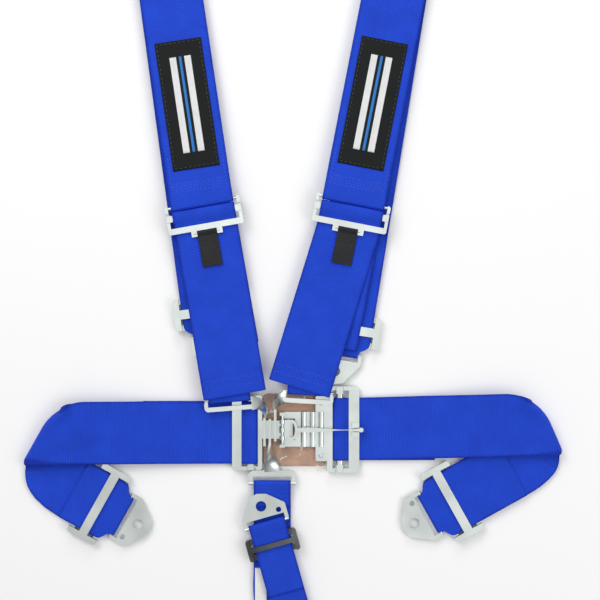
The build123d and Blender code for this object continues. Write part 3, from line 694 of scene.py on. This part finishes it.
class HARNESS_OT_labels(bpy.types.Operator):
    """Sews a plain striped label on each shoulder belt"""
    bl_idname = "harness.labels"
    bl_label = "Sew labels"

    def execute(self, context):
        for side in SHOULDER_BELTS:
            body = f"{side}_shoulder"
            upper = Strip(upper_path(side).pairs)
            rim = upper.total - 48.0 - pi * RIM_LOOP_R
            start, end, half = rim - 200.0, rim - 43.0, 28.5
            count = 40

            def patch(s0, s1, t0, t1, lift):
                spots = [s0 + (s1 - s0) * k / count for k in range(count + 1)]
                return Strip([(upper.point(s, t1, lift), upper.point(s, t0, lift)) for s in spots], 6.0, 0)

            base = WEB_T / 2 + 0.55
            cloth = patch(start, end, -half, half, base)
            label = ribbon(f"{side}_label_cloth", cloth, body, MATERIALS["label"], 0.7)
            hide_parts(f"{side}_label")
            bands = (
                ("stripe_a", "stripe", 5.0, 13.0), ("stripe_b", "stripe", -13.0, -5.0), ("stripe_c", "accent", -1.6, 1.6),
            )
            for band, finish, t0, t1 in bands:
                thread = patch(start + 20.0, end - 20.0, t0, t1, base + 0.5)
                ribbon(f"{side}_label_{band}", thread, body, MATERIALS[finish], 0.35)
            inset = 2.6
            border = box_rows(start + inset, end - inset, half - inset)
            stitches(f"{side}_label_stitching", upper, border, body,
                     MATERIALS["label_thread"], 3.6, 2.0, 0.5, base + 0.42)
        return {"FINISHED"}


class HARNESS_OT_pull_tabs(bpy.types.Operator):
    """Loops the ribbed pull tabs round the adjusters' rods"""
    bl_idname = "harness.pull_tabs"
    bl_label = "Loop pull tabs"

    def execute(self, context):
        for side in SHOULDER_BELTS:
            strip = Strip(tab_path(side).pairs, 0.6, 4)
            tab = ribbon(f"{side}_pull_tape", strip, f"{side}_pull_tab", MATERIALS["tape"], 0.95, 0.18)
            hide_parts(f"{side}_pull_tab")
            rows = [row for s in (17.0, 20.0, 23.0) for row in zigzag_row(s, 10.5, 0.9, 2.4)]
            stitches(f"{side}_tab_stitching", strip, rows, f"{side}_pull_tab",
                     MATERIALS["tab_thread"], 2.2, 0.4, 0.45, 0.5)
        return {"FINISHED"}


class HARNESS_OT_crotch_belt(bpy.types.Operator):
    """Lays the crotch belt with its sewn loop and blank tag"""
    bl_idname = "harness.crotch_belt"
    bl_label = "Lay crotch belt"

    def execute(self, context):
        strip = Strip(crotch_path().pairs)
        belt = ribbon("crotch_belt_webbing", strip, "crotch_belt", MATERIALS["crotch"])
        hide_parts("crotch_web")
        low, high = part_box("crotch_tag")
        x0, x1, y0, y1 = low[0] / MM, high[0] / MM, low[1] / MM, high[1] / MM
        z = low[2] / MM + 0.25
        edges = [(Vector((x0, y0 + (y1 - y0) * k / 12, z)), Vector((x1, y0 + (y1 - y0) * k / 12, z))) for k in range(13)]
        tag_strip = Strip(edges, 4.0, 0)
        tag = ribbon("crotch_tag_satin", tag_strip, "crotch_belt", MATERIALS["satin"], 0.35)
        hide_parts("crotch_tag")
        return {"FINISHED"}


def rounded_slab(name, node, grid, corner, top, bottom, body, material):
    """A closed slab over a node's outline with round corners; top and bottom give its faces' heights."""
    low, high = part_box(node)
    x0, y0, x1, y1 = low[0] / MM, low[1] / MM, high[0] / MM, high[1] / MM
    cx, cy, hx, hy = (x0 + x1) / 2, (y0 + y1) / 2, (x1 - x0) / 2, (y1 - y0) / 2
    points, faces = [], []
    for height in (top, bottom):
        for i in range(grid + 1):
            for j in range(grid + 1):
                x, y = hx * (2 * i / grid - 1), hy * (2 * j / grid - 1)
                dx, dy = abs(x) - (hx - corner), abs(y) - (hy - corner)
                if dx > 0 and dy > 0:
                    pull = max(dx, dy) / hypot(dx, dy)
                    x = (hx - corner + dx * pull) * (1 if x > 0 else -1)
                    y = (hy - corner + dy * pull) * (1 if y > 0 else -1)
                inset = min(1.0, min(hx - abs(x), hy - abs(y)) / 2.5)
                points.append(Vector((cx + x, cy + y, height(cx + x, cy + y, max(0.0, inset)))))
    side = grid + 1
    offset = side * side
    for i in range(grid):
        for j in range(grid):
            a, b, c, d = i * side + j, (i + 1) * side + j, (i + 1) * side + j + 1, i * side + j + 1
            faces += [(a, b, c, d), (offset + d, offset + c, offset + b, offset + a)]
    rim = [i * side for i in range(side)] + [grid * side + j for j in range(1, side)]
    rim += [i * side + grid for i in range(grid - 1, -1, -1)] + [j for j in range(grid - 1, 0, -1)]
    for a, b in zip(rim, rim[1:] + rim[:1]):
        faces.append((b, a, offset + a, offset + b))
    return mesh_object(name, points, faces, body, material)


class HARNESS_OT_pad(bpy.types.Operator):
    """Makes the leather buckle pad and the creased film over it"""
    bl_idname = "harness.pad"
    bl_label = "Make buckle pad"

    def execute(self, context):
        def leather_top(x, y, inset):
            return 0.6 + 2.25 * (1 - (1 - inset) ** 2) + 0.12 * noise.noise(Vector((x, y, 0)) * 0.12)

        def leather_bottom(x, y, inset):
            return 0.35 - 0.33 * inset

        pad = rounded_slab("leather_pad", "buckle_pad", 48, 8.0, leather_top, leather_bottom,
                           "buckle", MATERIALS["leather"])
        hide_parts("buckle_pad")

        height = settings().film_height / MM

        def crumple(x, y):
            spot = Vector((x * 0.035, y * 0.035, 3.7))
            bent = spot + 0.35 * noise.noise_vector(spot * 1.7)
            ridge = 1 - abs(2 * noise.noise(bent * 1.6))
            fine = 1 - abs(2 * noise.noise(bent * 3.4 + Vector((7.1, 2.3, 0.0))))
            return min(1.0, 0.8 * ridge ** 7 + 0.75 * fine ** 9)

        def film_top(x, y, inset):
            return 3.15 + height * crumple(x, y) * min(1.0, inset + 0.3)

        def film_bottom(x, y, inset):
            return film_top(x, y, inset) - 0.1

        film = rounded_slab("creased_film", "pad_film", 110, 6.0, film_top, film_bottom,
                            "buckle", MATERIALS["film"])
        # the crease attribute carries the wrinkles' height to the film's finish, which whitens the ridges: partly
        # stress whitening, partly painted highlight
        crease = film.data.attributes.new("crease", "FLOAT", "POINT")
        crease.data.foreach_set("value", [crumple(v.co.x / MM, v.co.y / MM) for v in film.data.vertices])
        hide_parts("pad_film")
        return {"FINISHED"}


class HARNESS_OT_stage(bpy.types.Operator):
    """Sets the floor, the soft light and the camera over the harness"""
    bl_idname = "harness.stage"
    bl_label = "Set stage"

    def execute(self, context):
        scene = context.scene
        scene.view_settings.view_transform = "Standard"
        floor_mesh = bpy.data.meshes.new("studio_floor")
        half = 4.0
        floor_mesh.from_pydata([(-half, -half, 0), (half, -half, 0), (half, half, 0), (-half, half, 0)], [], [(0, 1, 2, 3)])
        floor = bpy.data.objects.new("studio_floor", floor_mesh)
        paper, _, _ = new_material("matt_paper_white", {"Base Color": linear("#f7f7f7"), "Roughness": 0.9})
        floor_mesh.materials.append(paper)
        scene.collection.objects.link(floor)

        world = bpy.data.worlds.new("studio")
        scene.world = world
        world.use_nodes = True
        # a white ceiling that darkens towards the walls, so that rounded edges show as fine dark lines
        room = world.node_tree
        backdrop = room.nodes["Background"]
        backdrop.inputs["Color"].default_value = (1, 1, 1, 1)
        towards = add_node(room, "ShaderNodeTexCoord")
        height = add_node(room, "ShaderNodeSeparateXYZ", links={0: towards.outputs["Generated"]})
        glow = add_node(room, "ShaderNodeMapRange", {"From Min": 0.1, "From Max": 0.8, "To Min": 0.08, "To Max": 0.68},
                        {"Value": height.outputs["Z"]})
        room.links.new(glow.outputs["Result"], backdrop.inputs["Strength"])

        centre = Vector((0.01, 0.154, 0.0))
        lamps = (
            ("key_softbox", (-1.1, 1.3, 1.9), 1.3, 22.0),
            ("fill_softbox", (1.4, -0.5, 1.7), 1.2, 11.0),
            ("top_strip", (0.1, 1.7, 1.0), 0.6, 7.0),
            ("overhead_softbox", (0.0, 0.25, 2.6), 1.3, 3.2),
        )
        for name, place, size, power in lamps:
            lamp = bpy.data.lights.new(name, "AREA")
            lamp.size, lamp.energy = size, power
            holder = bpy.data.objects.new(name, lamp)
            holder.location = centre + Vector(place)
            holder.rotation_euler = (-Vector(place)).to_track_quat("-Z", "Y").to_euler()
            scene.collection.objects.link(holder)

        lens = bpy.data.cameras.new("copy_camera")
        lens.lens, lens.sensor_width = 85.0, 36.0
        span = 0.733
        camera = bpy.data.objects.new("copy_camera", lens)
        camera.location = centre + Vector((0, 0, span * lens.lens / lens.sensor_width))
        camera.rotation_euler = (0, 0, 0)
        scene.collection.objects.link(camera)
        scene.camera = camera
        return {"FINISHED"}


class HARNESS_PT_panel(bpy.types.Panel):
    """Sizes and colours of the harness, with a button for each group of pieces"""
    bl_idname = "HARNESS_PT_panel"
    bl_label = "Racing harness"
    bl_space_type = "VIEW_3D"
    bl_region_type = "UI"
    bl_category = "Harness"

    def draw(self, context):
        for name in HarnessSettings.__annotations__:
            self.layout.prop(context.scene.harness_settings, name)
        for step in STEPS:
            self.layout.operator(step.bl_idname)


STEPS = (
    HARNESS_OT_materials, HARNESS_OT_hardware, HARNESS_OT_lap_belts, HARNESS_OT_shoulder_belts,
    HARNESS_OT_labels, HARNESS_OT_pull_tabs, HARNESS_OT_crotch_belt, HARNESS_OT_pad, HARNESS_OT_stage,
)
CLASSES = (HarnessSettings,) + STEPS + (HARNESS_PT_panel,)


def register():
    for item in CLASSES:
        bpy.utils.register_class(item)
    bpy.types.Scene.harness_settings = PointerProperty(type=HarnessSettings)


def unregister():
    del bpy.types.Scene.harness_settings
    for item in reversed(CLASSES):
        bpy.utils.unregister_class(item)


def main():
    register()
    for step in STEPS:
        group, name = step.bl_idname.split(".")
        getattr(getattr(bpy.ops, group), name)()


if __name__ == "__main__":
    main()
